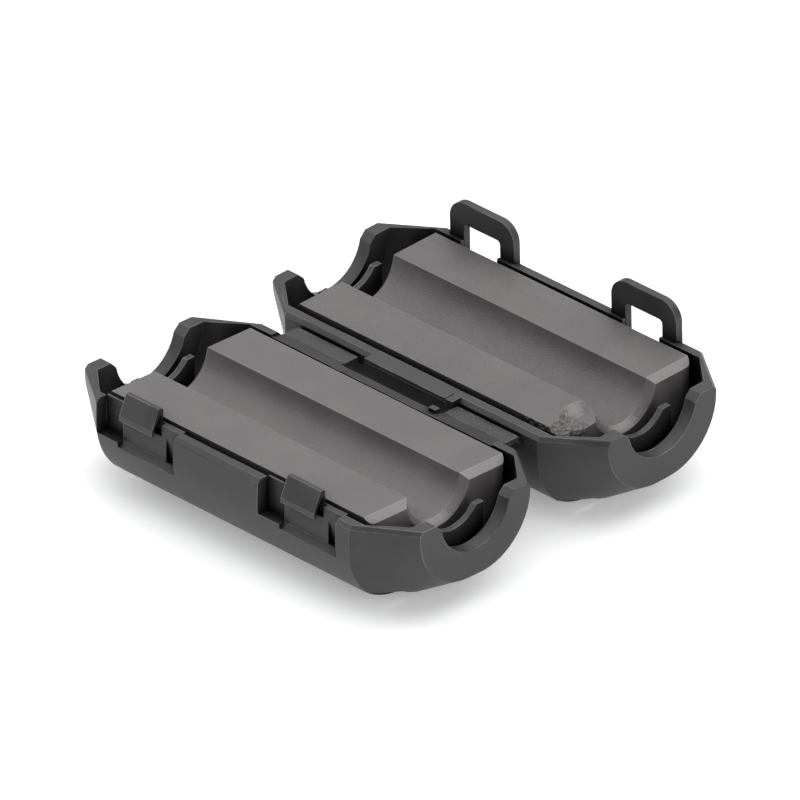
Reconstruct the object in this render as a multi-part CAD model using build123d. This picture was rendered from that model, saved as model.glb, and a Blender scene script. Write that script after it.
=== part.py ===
from build123d import *
import os
from math import cos, radians, sin

# A clip-on ferrite bead lying open: two half shells of one plastic moulding, joined by
# hinge straps, each holding half of a ferrite sleeve.
#
# Every half is drawn in its own frame: X along the cable, Y outward from the hinge line,
# Z up from the mating plane. lay_catch_half and lay_loop_half put the halves in the frame of
# the whole part, whose origin is on the resting surface below the middle of the hinge.
# All sizes are in millimetres and degrees.

# --- case, each half ---
case_length = 25.0       # end face to end face
half_width = 12.4        # hinge side to latch side
half_depth = 5.76        # mating plane to underside
bottom_radius = 4.4      # long rounded edges of the underside
rim_drop = 0.12          # rim below the mating plane, so the two rims stay 0.24 apart
wall = 0.7
end_wall = 0.8
floor_skin = 0.8         # underside below the ferrite
rim_edge = 0.22          # chamfer on the outer edges at the rim
show_through = 1.0       # how far cutters run past what they cut

# --- tapered ends ---
taper_length = 3.1
end_width = 8.1          # end face across the cable
end_depth = 4.1
end_corner = 3.6
notch_radius = 2.55      # half-round hole for the cable
notch_flare = 0.35       # chamfer where the hole meets the rim
tie_groove_width = 0.85  # half width of the V groove across the underside of each end
tie_groove_depth = 0.6
tie_groove_inset = 2.75  # groove line to end face
tie_groove_top = 4.6     # the groove stops this far below the mating plane

# --- grip web inside each end ---
web_inset = 1.75         # end face to the web
web_thickness = 0.35
web_half = 2.2
web_top = 1.15           # below the mating plane
web_radius = 2.0         # free radius left for the cable

# --- ferrite halves ---
ferrite_length = 19.5
ferrite_width = 10.2
channel_radius = 1.95
pole_gap = 0.04          # between the pole faces when the case is shut
ferrite_seat_gap = 0.02  # under each ferrite
ferrite_corner = 0.45    # upright corners
ferrite_bevel = 0.38     # end edges
ferrite_play = 0.1       # between the ferrite ends and the full section of the cavity
chip_depth = 0.83        # broken corner of the ferrite in the loop half
chip_radius = 2.4
chip_reach = 0.42        # centre of the widest scoop, past the end of the ferrite
chip_inset = 2.3         # the same, from the hinge side of the ferrite

# --- ribs that centre the ferrite ---
rib_width = 0.8
rib_station = 6.4        # from the middle, along X
rib_top = 1.2            # below the mating plane
rib_clearance = 0.03

# --- hinge ---
hinge_gap = 1.5          # between the two half shells when flat
crease_offset = 0.42     # each crease: this far from the hinge line and below the mating plane
crease_gap = 0.03        # thinned web at a crease
strap_thickness = 0.3
strap_zone = 8.2         # half length of the hinge zone
window_half = 3.7        # straps start this far from the middle
lip_half = 3.0           # lip of the loop half between the straps
lip_reach = 0.42
lip_thickness = 0.55
lip_edge = 0.2
stud_gap = 0.08
post_depth = 0.25        # small block of the catch half, facing the stud
post_height = 0.5
land_root = 0.3          # how far the lands run down the wall below the straps
trench_depth = 0.22      # groove between the straps and the wall of the loop half
stud_width = 0.5         # small block beside the lip
rest_fold = 1.6          # degrees that each half is folded up at its crease

# --- latches: a loop on one half, a catch on the other ---
latch_spacing = 12.05    # between the two latches
latch_middle = -0.5      # centre of the latch pair along X
loop_width = 4.82
loop_leg = 1.06
loop_height = 2.1        # top of the loop above the mating plane
bar_height = 1.27        # cross bar
loop_thickness = 0.45
loop_root = 1.25         # foot of the loop below the mating plane
loop_corner = 1.1
window_corner = 0.25
loop_clearance = 0.05
foot_clearance = 0.02    # below the feet of a loop
catch_protrusion = 0.38  # catch beyond the inner face of the cross bar
catch_top = 0.68         # above the mating plane
catch_skin = 0.4         # wall behind a catch
catch_side_clearance = 0.13
pocket_margin = 0.48     # pocket beyond the loop, along X
pocket_bottom = 2.6      # below the mating plane
slot_bottom = 2.15
slot_depth = 0.3         # leg slot deeper than the pocket
ramp_thickness = 0.16
nose_height = 0.3        # upright tip of a catch
catch_edge = 0.1
catch_end_wall = 0.45    # closed end of the hollow under the ramp
hollow_mouth = 0.3       # the hollow runs this far past the end of a catch
notch_width = 1.0        # sloping slot at the far end of a pocket
notch_top = 0.7          # below the mating plane

# --- worked out ---
centre = hinge_gap / 2 + half_width / 2
inner_face = hinge_gap / 2
outer_face = hinge_gap / 2 + half_width
straight_half = case_length / 2 - taper_length
cavity_half = half_width / 2 - wall
cavity_depth = half_depth - floor_skin
ferrite_top = pole_gap / 2
ferrite_depth = cavity_depth - ferrite_seat_gap
loop_inner = outer_face - loop_thickness
pocket_floor = loop_inner - loop_clearance
window_top = loop_height - bar_height
window_half_width = loop_width / 2 - loop_leg
latch_stations = [latch_middle - latch_spacing / 2, latch_middle + latch_spacing / 2]


def lowest_point():
    """Height of the crease line above the resting surface."""
    arc_y = inner_face + bottom_radius - crease_offset
    arc_z = -half_depth + bottom_radius + crease_offset
    tilt = radians(rest_fold)
    return bottom_radius - arc_y * sin(tilt) - arc_z * cos(tilt)


crease_height = lowest_point()


def lay_loop_half(shape):
    """Turn a half about its crease and stand it on the surface, at +Y."""
    turn = Pos(0, crease_offset, crease_height) * Rot(rest_fold, 0, 0)
    return turn * Pos(0, -crease_offset, crease_offset) * shape


def lay_catch_half(shape):
    """The same at -Y."""
    turn = Pos(0, -crease_offset, crease_height) * Rot(-rest_fold, 0, 0)
    return turn * Pos(0, crease_offset, crease_offset) * mirror(shape, about=Plane.XZ)


def box(x, y, z):
    """Box from three (low, high) pairs."""
    size = (x[1] - x[0], y[1] - y[0], z[1] - z[0])
    middle = ((x[0] + x[1]) / 2, (y[0] + y[1]) / 2, (z[0] + z[1]) / 2)
    return Pos(*middle) * Box(*size)


def prism_along_x(points, x0, x1):
    """Extrude a (Y, Z) outline from x0 to x1."""
    outline = make_face(Polyline(*points, close=True))
    return extrude(Plane.YZ.offset(x0) * outline, amount=x1 - x0)


def trough_section(x, half, depth, radius, top, edge=0):
    """U-shaped face across X: flat top, upright sides, rounded bottom edges."""
    knee = -depth + radius
    bend = radius * (1 - cos(radians(45)))
    outline = Line((-half + edge, -top), (half - edge, -top))
    if edge:
        outline += Line((half - edge, -top), (half, -top - edge))
    outline += Line((half, -top - edge), (half, knee))
    outline += ThreePointArc((half, knee), (half - bend, -depth + bend), (half - radius, -depth))
    outline += Line((half - radius, -depth), (-half + radius, -depth))
    outline += ThreePointArc((-half + radius, -depth), (-half + bend, -depth + bend), (-half, knee))
    outline += Line((-half, knee), (-half, -top - edge))
    if edge:
        outline += Line((-half, -top - edge), (-half + edge, -top))
    return Plane((x, centre, 0), x_dir=(0, 1, 0), z_dir=(1, 0, 0)) * make_face(outline)


def trough(straight, body, end_x, end, top, edge=0):
    """Straight trough with a tapered length at both ends."""
    middle = extrude(trough_section(-straight, *body, top, edge), amount=2 * straight)
    ends = []
    for side in (-1, 1):
        sections = [trough_section(side * straight, *body, top, edge),
                    trough_section(side * end_x, *end, top, edge)]
        ends.append(loft(sections, ruled=True))
    return middle + ends[0] + ends[1]


def case_outside():
    body = (half_width / 2, half_depth, bottom_radius)
    end = (end_width / 2, end_depth, end_corner)
    return trough(straight_half, body, case_length / 2, end, rim_drop, rim_edge)


def case_inside():
    """Room for the ferrite, narrowing behind the end walls."""
    body = (cavity_half, cavity_depth, bottom_radius - wall)
    taper_slope = (half_width - end_width) / 2 / taper_length
    inner_x = case_length / 2 - end_wall
    end_half = end_width / 2 + end_wall * taper_slope - wall
    end = (end_half, end_depth - wall / 2, end_half - wall / 2)
    return trough(ferrite_length / 2 + ferrite_play, body, inner_x, end, rim_drop - show_through)


def grip_web(side):
    """Upright web across the cavity behind an end wall, cut out for the cable."""
    x = side * (case_length / 2 - web_inset)
    web = box((x - web_thickness / 2, x + web_thickness / 2), (centre - web_half, centre + web_half),
              (-half_depth, -web_top))
    return (web & case_outside()) - Pos(0, centre, 0) * Rot(0, 90, 0) * Cylinder(web_radius, case_length)


def tie_groove(side):
    """V groove that follows the underside near one end."""
    x = case_length / 2 - tie_groove_inset
    sections = []
    for step in (-1, 0, 1):
        station = x + step * tie_groove_width
        share = (station - straight_half) / taper_length
        share = max(share, 0)
        inward = tie_groove_depth if step == 0 else -ferrite_seat_gap
        half = half_width / 2 + (end_width - half_width) / 2 * share - inward
        depth = half_depth + (end_depth - half_depth) * share - inward
        radius = bottom_radius + (end_corner - bottom_radius) * share - inward
        sections.append(trough_section(side * station, half, depth, radius, 0))
    core = loft(sections[:2], ruled=True) + loft(sections[1:], ruled=True)
    ends = sorted((side * (x - tie_groove_width), side * (x + tie_groove_width)))
    return box(ends, (centre - half_width, centre + half_width), (-half_depth - 1, -tie_groove_top)) - core


def half_shell():
    """The trough, cable notches, grip webs, tie grooves and ferrite ribs of one half."""
    shell = case_outside() - case_inside()
    shell -= Pos(0, centre, 0) * Rot(0, 90, 0) * Cylinder(notch_radius, case_length + show_through)
    mouth = centre - notch_radius
    flare = [(mouth - notch_flare, show_through), (mouth - notch_flare, -rim_drop),
             (mouth + notch_flare, -rim_drop - 2 * notch_flare), (centre, -rim_drop - 2 * notch_flare),
             (centre, show_through)]
    for side in (-1, 1):
        points = [(centre + side * (y - centre), z) for y, z in flare]
        flared = prism_along_x(points, -case_length, case_length)
        shell -= flared & box((-case_length, case_length), (0, outer_face), (-web_top, show_through))
    for side in (-1, 1):
        shell += grip_web(side)
        shell -= tie_groove(side)
        for station in (-rib_station, rib_station):
            reach = ferrite_width / 2 + rib_clearance
            ends = sorted((centre + side * reach, centre + side * (cavity_half + wall / 2)))
            shell += box((station - rib_width / 2, station + rib_width / 2), ends,
                         (-half_depth + bottom_radius, -rib_top))
    return shell


def hinge_flange(shell):
    """Lower the hinge wall to the creases and give it the lands that the straps leave from."""
    slope = [(crease_offset + crease_gap, -crease_offset), (inner_face + 2 * wall, -rim_drop),
             (inner_face + 2 * wall, show_through), (0, show_through), (0, -crease_offset)]
    shell -= prism_along_x(slope, -strap_zone, strap_zone)
    land = [(crease_offset + crease_gap, -crease_offset), (inner_face + wall, -rim_drop - catch_edge),
            (inner_face + wall, -crease_offset - strap_thickness - wall),
            (inner_face, -crease_offset - strap_thickness - land_root),
            (crease_offset + crease_gap, -crease_offset - strap_thickness)]
    for side in (-1, 1):
        ends = sorted((side * window_half, side * strap_zone))
        shell += prism_along_x(land, *ends)
    return shell


def catch_half():
    shell = hinge_flange(half_shell())
    for station in latch_stations:
        x0 = station - loop_width / 2 - pocket_margin
        x1 = station + loop_width / 2 + pocket_margin
        shell += box((x0, x1), (pocket_floor - catch_skin, outer_face - wall / 2),
                     (-pocket_bottom, -rim_drop))
        front = outer_face + show_through
        recess = [(pocket_floor, show_through), (pocket_floor, -slot_bottom),
                  (outer_face, -pocket_bottom), (front, -pocket_bottom), (front, show_through)]
        shell -= prism_along_x(recess, x0 + pocket_margin + loop_leg, x1)
        shell -= box((x0, station - window_half_width), (pocket_floor - slot_depth, front),
                     (-slot_bottom, show_through))
        notch = [(pocket_floor, -notch_top), (pocket_floor - slot_depth, -slot_bottom),
                 (front, -slot_bottom), (front, -notch_top)]
        shell -= prism_along_x(notch, x1 - notch_width, x1)
        shell = shell + snap_catch(station) - catch_hollow(station)
    post = (lip_half + stud_gap, lip_half + stud_gap + stud_width)
    shell += box(post, (inner_face - catch_edge, inner_face + post_depth), (-rim_drop - post_height, -rim_drop))
    return shell


def catch_profile():
    """Outline of a catch and of the hollow under its ramp, across the cable."""
    ledge = -window_top + loop_clearance
    nose = loop_inner + catch_protrusion
    back = pocket_floor - catch_skin
    crest = pocket_floor - loop_clearance
    body = [(back, -slot_bottom), (back, catch_top - catch_edge), (back + catch_edge, catch_top),
            (crest, catch_top), (nose, ledge + nose_height), (nose, ledge),
            (pocket_floor, ledge), (pocket_floor, -slot_bottom)]
    inner_nose = nose - ramp_thickness
    inner_back = back + catch_edge
    slope = (catch_top - ledge - nose_height) / (nose - crest)
    hollow = [(inner_back, catch_top - 2 * ramp_thickness), (crest, catch_top - ramp_thickness * (1 + slope)),
              (inner_nose, ledge + nose_height), (inner_nose, ledge), (inner_back, ledge)]
    return body, hollow


def snap_catch(station):
    """Tongue above the rim with an overhanging ramp."""
    half = window_half_width - catch_side_clearance
    return prism_along_x(catch_profile()[0], station - half, station + half)


def catch_hollow(station):
    """Room under the ramp, open at one end."""
    half = window_half_width - catch_side_clearance
    return prism_along_x(catch_profile()[1], station - half + catch_end_wall, station + half + hollow_mouth)


def loop_half():
    """Shell with recesses for the loop feet, openings for the catches and the hinge lip."""
    shell = half_shell()
    for station in latch_stations:
        half = loop_width / 2 + loop_clearance
        front = outer_face + show_through
        shell -= box((station - half, station + half), (loop_inner - loop_clearance, front),
                     (-loop_root - foot_clearance, show_through))
        shell -= box((station - window_half_width, station + window_half_width),
                     (centre, front), (-loop_root, show_through))
    trench = -crease_offset - trench_depth
    land = [(crease_offset + crease_gap, -crease_offset), (crease_offset + 4 * crease_gap, -crease_offset),
            (inner_face, trench), (inner_face + wall, trench),
            (inner_face + wall, -crease_offset - strap_thickness - wall),
            (inner_face, -crease_offset - strap_thickness - land_root),
            (crease_offset + crease_gap, -crease_offset - strap_thickness)]
    for side in (-1, 1):
        shell += prism_along_x(land, *sorted((side * window_half, side * strap_zone)))
    lip = [(inner_face + wall / 2, -rim_drop), (inner_face - lip_reach, -rim_drop),
           (inner_face - lip_reach, -rim_drop - lip_edge),
           (inner_face - lip_edge / 2, -rim_drop - lip_thickness),
           (inner_face + wall / 2, -rim_drop - lip_thickness)]
    shell += prism_along_x(lip, -lip_half, lip_half)
    stud_x = lip_half + stud_gap
    shell += box((stud_x, stud_x + stud_width), (inner_face - lip_reach - stud_gap / 2, inner_face + wall / 2),
                 (-rim_drop - lip_thickness, -rim_drop))
    return shell


def latch_loop(station):
    """Flat loop with rounded top corners, standing on its two feet."""
    tall = loop_height + loop_root
    plate = Rectangle(loop_width, tall)
    top = plate.vertices().group_by(Axis.Y)[-1]
    plate = fillet(top, loop_corner)
    window_tall = window_top + loop_root
    window = Pos(0, -tall / 2 + window_tall / 2) * Rectangle(2 * window_half_width, window_tall)
    upper = window.vertices().group_by(Axis.Y)[-1]
    plate -= fillet(upper, window_corner)
    solid = extrude(Plane.XZ * plate, amount=-loop_thickness)
    return Pos(station, loop_inner, (loop_height - loop_root) / 2) * solid


def hinge_strap(side):
    """Flat strap between the two creases, drawn in the frame of the whole part."""
    ends = sorted((side * window_half, side * strap_zone))
    return box(ends, (-crease_offset, crease_offset), (crease_height - strap_thickness, crease_height))


def ferrite_half():
    """Half sleeve: flat pole faces, half-round channel, bevelled ends."""
    half = ferrite_width / 2
    radius = bottom_radius - wall - (cavity_half - half)
    face = trough_section(-ferrite_length / 2, half, ferrite_depth, radius, ferrite_top)
    block = extrude(face, amount=ferrite_length)
    block = fillet(block.edges().filter_by(Axis.Z), ferrite_corner)
    block -= Pos(0, centre, 0) * Rot(0, 90, 0) * Cylinder(channel_radius, ferrite_length + show_through)
    for side in (-1, 1):
        end = Pos(side * ferrite_length / 2, centre, 0) * Rot(0, side * 90, 0)
        flare = Cone(channel_radius, channel_radius + 2 * ferrite_bevel, 2 * ferrite_bevel)
        block -= end * flare
        bevel = [(0, 0), (ferrite_bevel, 0), (0, ferrite_bevel)]
        cutter = make_face(Polyline(*[(-side * u, -w) for u, w in bevel], close=True))
        cutter = extrude(Plane.XZ * cutter, amount=half_width, both=True)
        block -= Pos(side * ferrite_length / 2, centre, -ferrite_top) * cutter
    return block


def chipped_ferrite():
    """The same with a shell-shaped chip out of the +X corner on the hinge side."""
    block = ferrite_half()
    end_x = ferrite_length / 2
    edge_y = centre - ferrite_width / 2
    for reach, inset, size in ((1, 1, 1), (2.3, 0.2, 0.92), (1.5, 0.6, 0.7)):
        radius = size * chip_radius
        middle = (end_x + reach * chip_reach, edge_y + inset * chip_inset, radius - size * chip_depth)
        block -= Pos(*middle) * Sphere(radius)
    return block


def build():
    parts = {
        "case_catch_half": lay_catch_half(catch_half()),
        "case_loop_half": lay_loop_half(loop_half()),
        "ferrite_catch_half": lay_catch_half(ferrite_half()),
        "ferrite_loop_half": lay_loop_half(chipped_ferrite()),
        "hinge_strap_left": hinge_strap(-1),
        "hinge_strap_right": hinge_strap(1),
        "latch_loop_left": lay_loop_half(latch_loop(latch_stations[0])),
        "latch_loop_right": lay_loop_half(latch_loop(latch_stations[1])),
    }
    os.makedirs("parts", exist_ok=True)
    for name, shape in parts.items():
        export_step(shape, f"parts/{name}.step")
        print(name, round(shape.volume, 3))
    print("crease height", round(crease_height, 4))


build()
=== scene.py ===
import math

import bpy
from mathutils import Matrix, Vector


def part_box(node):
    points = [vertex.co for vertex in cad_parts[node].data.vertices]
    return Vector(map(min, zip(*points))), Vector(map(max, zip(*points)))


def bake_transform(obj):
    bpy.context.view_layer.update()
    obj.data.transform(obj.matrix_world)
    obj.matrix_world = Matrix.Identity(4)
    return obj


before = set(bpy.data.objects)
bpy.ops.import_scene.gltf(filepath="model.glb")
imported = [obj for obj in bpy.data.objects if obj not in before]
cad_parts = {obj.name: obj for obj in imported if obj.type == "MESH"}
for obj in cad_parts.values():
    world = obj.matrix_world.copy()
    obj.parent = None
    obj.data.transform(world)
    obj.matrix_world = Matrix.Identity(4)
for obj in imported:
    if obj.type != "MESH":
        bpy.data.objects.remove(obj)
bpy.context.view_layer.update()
mm = 0.001
print("frame loaded,", len(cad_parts), "nodes")

# angles in degrees, lengths in millimetres, clip in metres
viewing = {"azimuth": 45.03, "elevation": 29.75, "distance": 945.4, "lens": 808.7, "sensor": 36.0,
           "aim": (0.36, -0.375, 4.60), "clip": (0.1, 20.0)}


def addCamera():
    turn = math.radians(viewing["azimuth"])
    lift = math.radians(viewing["elevation"])
    back = Vector((math.sin(turn) * math.cos(lift), -math.cos(turn) * math.cos(lift), math.sin(lift)))
    data = bpy.data.cameras.new("studioCamera")
    data.sensor_width = viewing["sensor"]
    data.lens = viewing["lens"]
    data.clip_start, data.clip_end = viewing["clip"]
    camera = bpy.data.objects.new("studioCamera", data)
    bpy.context.collection.objects.link(camera)
    camera.location = Vector(viewing["aim"]) * mm + back * viewing["distance"] * mm
    camera.rotation_euler = back.to_track_quat("Z", "Y").to_euler()
    bpy.context.scene.camera = camera


addCamera()
print("camera placed")


def link(tree, source, target):
    tree.links.new(source, target)


def addNode(tree, kind, **settings):
    node = tree.nodes.new(kind)
    for key, value in settings.items():
        if key == "inputs":
            for name, number in value.items():
                node.inputs[name].default_value = number
        else:
            setattr(node, key, value)
    return node


def mathNode(tree, operation, a, b, clamp=False):
    node = addNode(tree, "ShaderNodeMath", operation=operation, use_clamp=clamp)
    for index, value in enumerate((a, b)):
        if isinstance(value, (int, float)):
            node.inputs[index].default_value = value
        else:
            link(tree, value, node.inputs[index])
    return node.outputs[0]


def remap(tree, value, low, high, outLow=0.0, outHigh=1.0):
    node = addNode(tree, "ShaderNodeMapRange", clamp=True)
    for name, number in (("From Min", low), ("From Max", high), ("To Min", outLow), ("To Max", outHigh)):
        node.inputs[name].default_value = number
    link(tree, value, node.inputs["Value"])
    return node.outputs["Result"]


def mixColour(tree, factor, a, b):
    node = addNode(tree, "ShaderNodeMix", data_type="RGBA")
    for socket, value in ((node.inputs[0], factor), (node.inputs[6], a), (node.inputs[7], b)):
        if isinstance(value, tuple):
            socket.default_value = (*value, 1.0)
        else:
            link(tree, value, socket)
    return node.outputs[2]


# how far a face points along a direction, 1 when it faces it
def facing(tree, direction):
    dot = addNode(tree, "ShaderNodeVectorMath", operation="DOT_PRODUCT")
    link(tree, addNode(tree, "ShaderNodeNewGeometry").outputs["True Normal"], dot.inputs[0])
    dot.inputs[1].default_value = direction
    return dot.outputs["Value"]


def newGroup(name, inputs, outputs):
    group = bpy.data.node_groups.new(name, "ShaderNodeTree")
    for socketName, kind, default in inputs:
        socket = group.interface.new_socket(socketName, in_out="INPUT", socket_type=kind)
        socket.default_value = default
    for socketName, kind in outputs:
        group.interface.new_socket(socketName, in_out="OUTPUT", socket_type=kind)
    return group, group.nodes.new("NodeGroupInput"), group.nodes.new("NodeGroupOutput")


def useGroup(tree, group, **values):
    node = addNode(tree, "ShaderNodeGroup", node_tree=group)
    for name, value in values.items():
        node.inputs[name].default_value = value
    return node


# mask of the outer edges, and a normal that rounds them
def makeEdgeGlint():
    group, inside, outside = newGroup(
        "edgeGlint", [("Radius", "NodeSocketFloat", 0.12 * mm), ("Sharpness", "NodeSocketFloat", 0.12)],
        [("Mask", "NodeSocketFloat"), ("Normal", "NodeSocketVector")])
    bevel = addNode(group, "ShaderNodeBevel", samples=6)
    link(group, inside.outputs["Radius"], bevel.inputs["Radius"])
    geometry = addNode(group, "ShaderNodeNewGeometry")
    dot = addNode(group, "ShaderNodeVectorMath", operation="DOT_PRODUCT")
    link(group, bevel.outputs[0], dot.inputs[0])
    link(group, geometry.outputs["True Normal"], dot.inputs[1])
    bend = mathNode(group, "SUBTRACT", 1.0, dot.outputs["Value"], clamp=True)
    mask = mathNode(group, "DIVIDE", bend, inside.outputs["Sharpness"], clamp=True)
    link(group, mask, outside.inputs["Mask"])
    link(group, bevel.outputs[0], outside.inputs["Normal"])
    return group


# fine height for the bump, and broad patches for the shade
def makeGrain():
    group, inside, outside = newGroup(
        "mouldGrain", [("Scale", "NodeSocketFloat", 9000.0), ("Patches", "NodeSocketFloat", 500.0)],
        [("Height", "NodeSocketFloat"), ("Shade", "NodeSocketFloat")])
    place = addNode(group, "ShaderNodeTexCoord").outputs["Object"]
    fine = addNode(group, "ShaderNodeTexNoise", inputs={"Detail": 3.0, "Roughness": 0.6})
    broad = addNode(group, "ShaderNodeTexNoise", inputs={"Detail": 4.0, "Roughness": 0.55})
    for texture, scale in ((fine, "Scale"), (broad, "Patches")):
        link(group, place, texture.inputs["Vector"])
        link(group, inside.outputs[scale], texture.inputs["Scale"])
    link(group, fine.outputs[0], outside.inputs["Height"])
    link(group, broad.outputs[0], outside.inputs["Shade"])
    return group


# 1 in the open, towards 0 deep in gaps; used to paint shade into gaps and hollows
def makeHollow():
    group, inside, outside = newGroup(
        "hollowShade", [("Reach", "NodeSocketFloat", 1.0 * mm), ("Depth", "NodeSocketFloat", 1.6)],
        [("Mask", "NodeSocketFloat")])
    occlusion = addNode(group, "ShaderNodeAmbientOcclusion", samples=8)
    link(group, inside.outputs["Reach"], occlusion.inputs["Distance"])
    shade = mathNode(group, "POWER", occlusion.outputs["AO"], inside.outputs["Depth"])
    link(group, shade, outside.inputs["Mask"])
    return group


edgeGlint = makeEdgeGlint()
mouldGrain = makeGrain()
hollowShade = makeHollow()
print("shared effects made")


def newMaterial(name):
    material = bpy.data.materials.new(name)
    material.use_nodes = True
    tree = material.node_tree
    tree.nodes.clear()
    shader = addNode(tree, "ShaderNodeBsdfPrincipled")
    output = addNode(tree, "ShaderNodeOutputMaterial")
    link(tree, shader.outputs[0], output.inputs["Surface"])
    return material, tree, shader


def addBump(tree, shader, height, normal, strength, distance):
    bump = addNode(tree, "ShaderNodeBump", inputs={"Strength": strength, "Distance": distance})
    link(tree, height, bump.inputs["Height"])
    link(tree, normal, bump.inputs["Normal"])
    link(tree, bump.outputs[0], shader.inputs["Normal"])


# pairs are low and high ends, of the result for roughness and of the driving mask for the others
# edge is the colour of the painted edge highlight, gap the near black of the painted shade in gaps
plastic = {"dark": (0.026, 0.0255, 0.026), "light": (0.038, 0.0375, 0.038), "edge": (0.26, 0.255, 0.255),
           "gapShade": (0.002, 0.002, 0.002), "roughness": (0.38, 0.50), "specular": 0.38,
           "grainScale": 9000.0, "patchScale": 420.0, "bump": 0.10, "bumpHeight": 0.03 * mm,
           "edgeRadius": 0.08 * mm, "edgeSharpness": 0.14, "gapReach": 1.2 * mm, "gapDepth": 2.0,
           "shadePatches": (0.35, 0.65), "roughPatches": (0.3, 0.7),
           "edgeHighlightAmount": 0.85, "highlightPatches": (0.38, 0.56), "openRange": (0.35, 0.75)}


def makeCasePlastic():
    material, tree, shader = newMaterial("casePlastic")
    grain = useGroup(tree, mouldGrain, Scale=plastic["grainScale"], Patches=plastic["patchScale"])
    edge = useGroup(tree, edgeGlint, Radius=plastic["edgeRadius"], Sharpness=plastic["edgeSharpness"])
    hollow = useGroup(tree, hollowShade, Reach=plastic["gapReach"], Depth=plastic["gapDepth"])
    shade = grain.outputs["Shade"]
    openness = hollow.outputs["Mask"]
    base = mixColour(tree, remap(tree, shade, *plastic["shadePatches"]), plastic["dark"], plastic["light"])
    # painted highlight on the outer edges, in patches, and only on edges in the open
    patchy = mathNode(tree, "MULTIPLY", edge.outputs["Mask"], remap(tree, shade, *plastic["highlightPatches"]))
    paintedEdgeHighlight = mathNode(tree, "MULTIPLY", patchy, plastic["edgeHighlightAmount"])
    paintedEdgeHighlight = mathNode(tree, "MULTIPLY", paintedEdgeHighlight, remap(tree, openness, *plastic["openRange"]))
    # painted shade: near black mixed in deep in gaps and hollows
    base = mixColour(tree, openness, plastic["gapShade"], base)
    link(tree, mixColour(tree, paintedEdgeHighlight, base, plastic["edge"]), shader.inputs["Base Color"])
    roughness = remap(tree, shade, *plastic["roughPatches"], *plastic["roughness"])
    link(tree, roughness, shader.inputs["Roughness"])
    specular = mathNode(tree, "MULTIPLY", openness, plastic["specular"])
    link(tree, specular, shader.inputs["Specular IOR Level"])
    addBump(tree, shader, grain.outputs["Height"], edge.outputs["Normal"],
            plastic["bump"], plastic["bumpHeight"])
    return material


# edge is the colour of the painted highlight on edges and bevels, gap the near black of the painted shade in
# gaps
sintered = {"dark": (0.088, 0.082, 0.081), "light": (0.118, 0.110, 0.108), "edge": (0.36, 0.34, 0.34),
            "gapShade": (0.004, 0.004, 0.004), "roughness": (0.40, 0.52),
            "grainScale": 14000.0, "patchScale": 260.0, "patches": (0.3, 0.7),
            "bump": 0.10, "bumpHeight": 0.04 * mm, "edgeRadius": 0.07 * mm, "edgeSharpness": 0.08,
            "edgeHighlightAmount": 0.45, "gapReach": 1.0 * mm, "gapDepth": 1.8,
            "pit": (0.05, 0.046, 0.045), "pitScale": 7000.0, "pitDetail": 2.0, "pitRange": (0.62, 0.72),
            "pitAmount": 0.6,
            "bevelFacing": (0.707, 0.0, 0.707), "bevelRange": (0.93, 0.99), "bevelHighlightAmount": 0.45}

# leans is the tilt of a half in degrees, atHeight a share of the ferrite's height
chip = {"colour": (0.20, 0.19, 0.185), "reach": (1.6 * mm, 2.6 * mm), "atHeight": 0.97, "bump": 0.75,
        "leans": 1.6, "poleRange": (0.985, 0.999), "shardScale": 3600.0, "shardDepth": 3.0,
        "flakeScale": 4200.0, "flakeDetail": 6.0, "flakeRoughness": 0.75, "flakeRange": (0.43, 0.58),
        "lift": 5.0}


def cornerPoint(nodeName):
    low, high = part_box(nodeName)
    return high[0], low[1], low[2] + (high[2] - low[2]) * chip["atHeight"]


# rough broken ceramic near the corner, but not on the ground pole face
def breakCorner(tree, place, corner, base, height):
    away = addNode(tree, "ShaderNodeVectorMath", operation="DISTANCE")
    link(tree, place, away.inputs[0])
    away.inputs[1].default_value = corner
    near = remap(tree, away.outputs["Value"], *chip["reach"], outLow=1.0, outHigh=0.0)
    lean = math.radians(chip["leans"])
    pole = facing(tree, (0.0, -math.sin(lean), math.cos(lean)))
    tilted = remap(tree, pole, *chip["poleRange"], outLow=1.0, outHigh=0.0)
    broken = mathNode(tree, "MULTIPLY", near, tilted)
    shard = addNode(tree, "ShaderNodeTexVoronoi", inputs={"Scale": chip["shardScale"]})
    flake = addNode(tree, "ShaderNodeTexNoise", inputs={
        "Scale": chip["flakeScale"], "Detail": chip["flakeDetail"], "Roughness": chip["flakeRoughness"]})
    for texture in (shard, flake):
        link(tree, place, texture.inputs["Vector"])
    pale = remap(tree, flake.outputs[0], *chip["flakeRange"])
    base = mixColour(tree, broken, base, mixColour(tree, pale, sintered["light"], chip["colour"]))
    deep = mathNode(tree, "MULTIPLY", shard.outputs["Distance"], chip["shardDepth"])
    crumble = mathNode(tree, "ADD", deep, flake.outputs[0])
    lifted = mathNode(tree, "MULTIPLY", mathNode(tree, "MULTIPLY", crumble, broken), chip["lift"])
    return base, mathNode(tree, "ADD", height, lifted)


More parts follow.
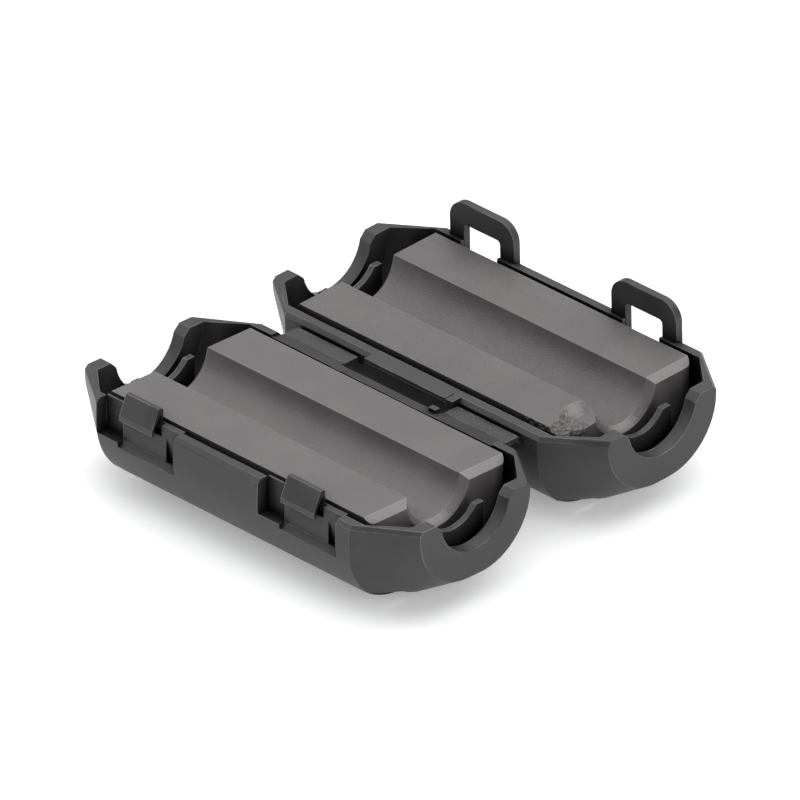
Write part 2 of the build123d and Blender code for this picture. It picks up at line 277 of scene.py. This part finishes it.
def makeFerrite(name, brokenCorner=None):
    material, tree, shader = newMaterial(name)
    place = addNode(tree, "ShaderNodeTexCoord").outputs["Object"]
    grain = useGroup(tree, mouldGrain, Scale=sintered["grainScale"], Patches=sintered["patchScale"])
    edge = useGroup(tree, edgeGlint, Radius=sintered["edgeRadius"], Sharpness=sintered["edgeSharpness"])
    hollow = useGroup(tree, hollowShade, Reach=sintered["gapReach"], Depth=sintered["gapDepth"])
    patches = remap(tree, grain.outputs["Shade"], *sintered["patches"])
    base = mixColour(tree, patches, sintered["dark"], sintered["light"])
    speck = addNode(tree, "ShaderNodeTexNoise",
                    inputs={"Scale": sintered["pitScale"], "Detail": sintered["pitDetail"]})
    link(tree, place, speck.inputs["Vector"])
    pits = remap(tree, speck.outputs[0], *sintered["pitRange"])
    base = mixColour(tree, mathNode(tree, "MULTIPLY", pits, sintered["pitAmount"]), base, sintered["pit"])
    # painted highlight: paler colour along the outer edges of the ferrite
    paintedEdgeHighlight = mathNode(tree, "MULTIPLY", edge.outputs["Mask"], sintered["edgeHighlightAmount"])
    base = mixColour(tree, paintedEdgeHighlight, base, sintered["edge"])
    # painted highlight on faces that point up and along the ferrite, such as the ground bevel at the end of
    # the channel
    paintedBevelHighlight = remap(tree, facing(tree, sintered["bevelFacing"]), *sintered["bevelRange"])
    paintedBevelHighlight = mathNode(tree, "MULTIPLY", paintedBevelHighlight, sintered["bevelHighlightAmount"])
    base = mixColour(tree, paintedBevelHighlight, base, sintered["edge"])
    height = grain.outputs["Height"]
    strength = sintered["bump"]
    if brokenCorner:
        base, height = breakCorner(tree, place, brokenCorner, base, height)
        strength = chip["bump"]
    # painted shade: near black mixed in deep in gaps and hollows
    link(tree, mixColour(tree, hollow.outputs["Mask"], sintered["gapShade"], base), shader.inputs["Base Color"])
    roughness = remap(tree, grain.outputs["Shade"], *sintered["patches"], *sintered["roughness"])
    link(tree, roughness, shader.inputs["Roughness"])
    addBump(tree, shader, height, edge.outputs["Normal"], strength, sintered["bumpHeight"])
    return material


def paint(nodeName, material):
    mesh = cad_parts[nodeName].data
    mesh.materials.clear()
    mesh.materials.append(material)


casePlastic = makeCasePlastic()
groundFerrite = makeFerrite("groundFerrite")
chippedFerrite = makeFerrite("chippedFerrite", cornerPoint("ferrite_loop_half"))
finishes = {"ferrite_catch_half": groundFerrite, "ferrite_loop_half": chippedFerrite}
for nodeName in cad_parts:
    paint(nodeName, finishes.get(nodeName, casePlastic))
print("materials made")

crease = {"reach": 0.09 * mm, "thickness": 0.11 * mm, "cover": 0.012 * mm}


# thin web that spans one crease of the hinge
def addCreaseWeb(strapName, side):
    low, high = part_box(strapName)
    y = low[1] if side < 0 else high[1]
    top = high[2] - crease["cover"]
    corners = [(x, y + dy * crease["reach"], z) for x in (low[0] + crease["cover"], high[0] - crease["cover"])
               for dy in (-1, 1) for z in (top - crease["thickness"], top)]
    faces = [(0, 1, 3, 2), (4, 6, 7, 5), (0, 4, 5, 1), (2, 3, 7, 6), (0, 2, 6, 4), (1, 5, 7, 3)]
    name = "crease_web_" + strapName.rsplit("_", 1)[1] + ("_catch_side" if side < 0 else "_loop_side")
    mesh = bpy.data.meshes.new(name)
    mesh.from_pydata(corners, [], faces)
    mesh.materials.append(casePlastic)
    web = bpy.data.objects.new(name, mesh)
    bpy.context.collection.objects.link(web)
    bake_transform(web)


for strapName in ("hinge_strap_left", "hinge_strap_right"):
    addCreaseWeb(strapName, -1)
    addCreaseWeb(strapName, 1)
print("crease webs made")

paper = {"size": 4.0, "colour": (0.80, 0.80, 0.80), "lift": 0.30}


def addFloor():
    half = paper["size"] / 2
    mesh = bpy.data.meshes.new("paleFloor")
    corners = [(-half, -half, 0), (half, -half, 0), (half, half, 0), (-half, half, 0)]
    mesh.from_pydata(corners, [], [(0, 1, 2, 3)])
    floor = bpy.data.objects.new("paleFloor", mesh)
    bpy.context.collection.objects.link(floor)
    material = bpy.data.materials.new("palePaper")
    material.use_nodes = True
    tree = material.node_tree
    tree.nodes.clear()
    diffuse = addNode(tree, "ShaderNodeBsdfDiffuse")
    diffuse.inputs["Color"].default_value = (*paper["colour"], 1)
    glow = addNode(tree, "ShaderNodeEmission")
    ray = addNode(tree, "ShaderNodeLightPath")
    seen = mathNode(tree, "ADD", ray.outputs["Is Camera Ray"], ray.outputs["Is Glossy Ray"], clamp=True)
    link(tree, mathNode(tree, "MULTIPLY", seen, paper["lift"]), glow.inputs["Strength"])
    total = addNode(tree, "ShaderNodeAddShader")
    link(tree, diffuse.outputs[0], total.inputs[0])
    link(tree, glow.outputs[0], total.inputs[1])
    link(tree, total.outputs[0], addNode(tree, "ShaderNodeOutputMaterial").inputs["Surface"])
    mesh.materials.append(material)


surround = {"colour": (0.9, 0.92, 0.95), "strength": 0.35}


# soft light all round, seen as white behind the floor
def addWorld():
    world = bpy.data.worlds.new("studioWorld")
    bpy.context.scene.world = world
    world.use_nodes = True
    tree = world.node_tree
    tree.nodes.clear()
    soft = addNode(tree, "ShaderNodeBackground")
    soft.inputs["Color"].default_value = (*surround["colour"], 1)
    soft.inputs["Strength"].default_value = surround["strength"]
    white = addNode(tree, "ShaderNodeBackground")
    mix = addNode(tree, "ShaderNodeMixShader")
    link(tree, addNode(tree, "ShaderNodeLightPath").outputs["Is Camera Ray"], mix.inputs[0])
    link(tree, soft.outputs[0], mix.inputs[1])
    link(tree, white.outputs[0], mix.inputs[2])
    link(tree, mix.outputs[0], addNode(tree, "ShaderNodeOutputWorld").inputs["Surface"])


# place and size in metres, power in watts; each lamp points at the origin
softboxes = {"topSoftbox": {"place": (-0.03, 0.13, 0.45), "size": 0.8, "power": 3.8},
             "leftSoftbox": {"place": (-0.45, -0.2, 0.25), "size": 0.35, "power": 1.0},
             "rightSoftbox": {"place": (0.45, -0.1, 0.22), "size": 0.3, "power": 0.9}}


def addLamp(name, place, size, power):
    data = bpy.data.lights.new(name, "AREA")
    data.shape = "SQUARE"
    data.size = size
    data.energy = power
    lamp = bpy.data.objects.new(name, data)
    bpy.context.collection.objects.link(lamp)
    lamp.location = place
    lamp.rotation_euler = Vector(place).to_track_quat("Z", "Y").to_euler()


addFloor()
addWorld()
for lampName, settings in softboxes.items():
    addLamp(lampName, **settings)
bpy.context.scene.view_settings.view_transform = "Standard"
print("studio ready")
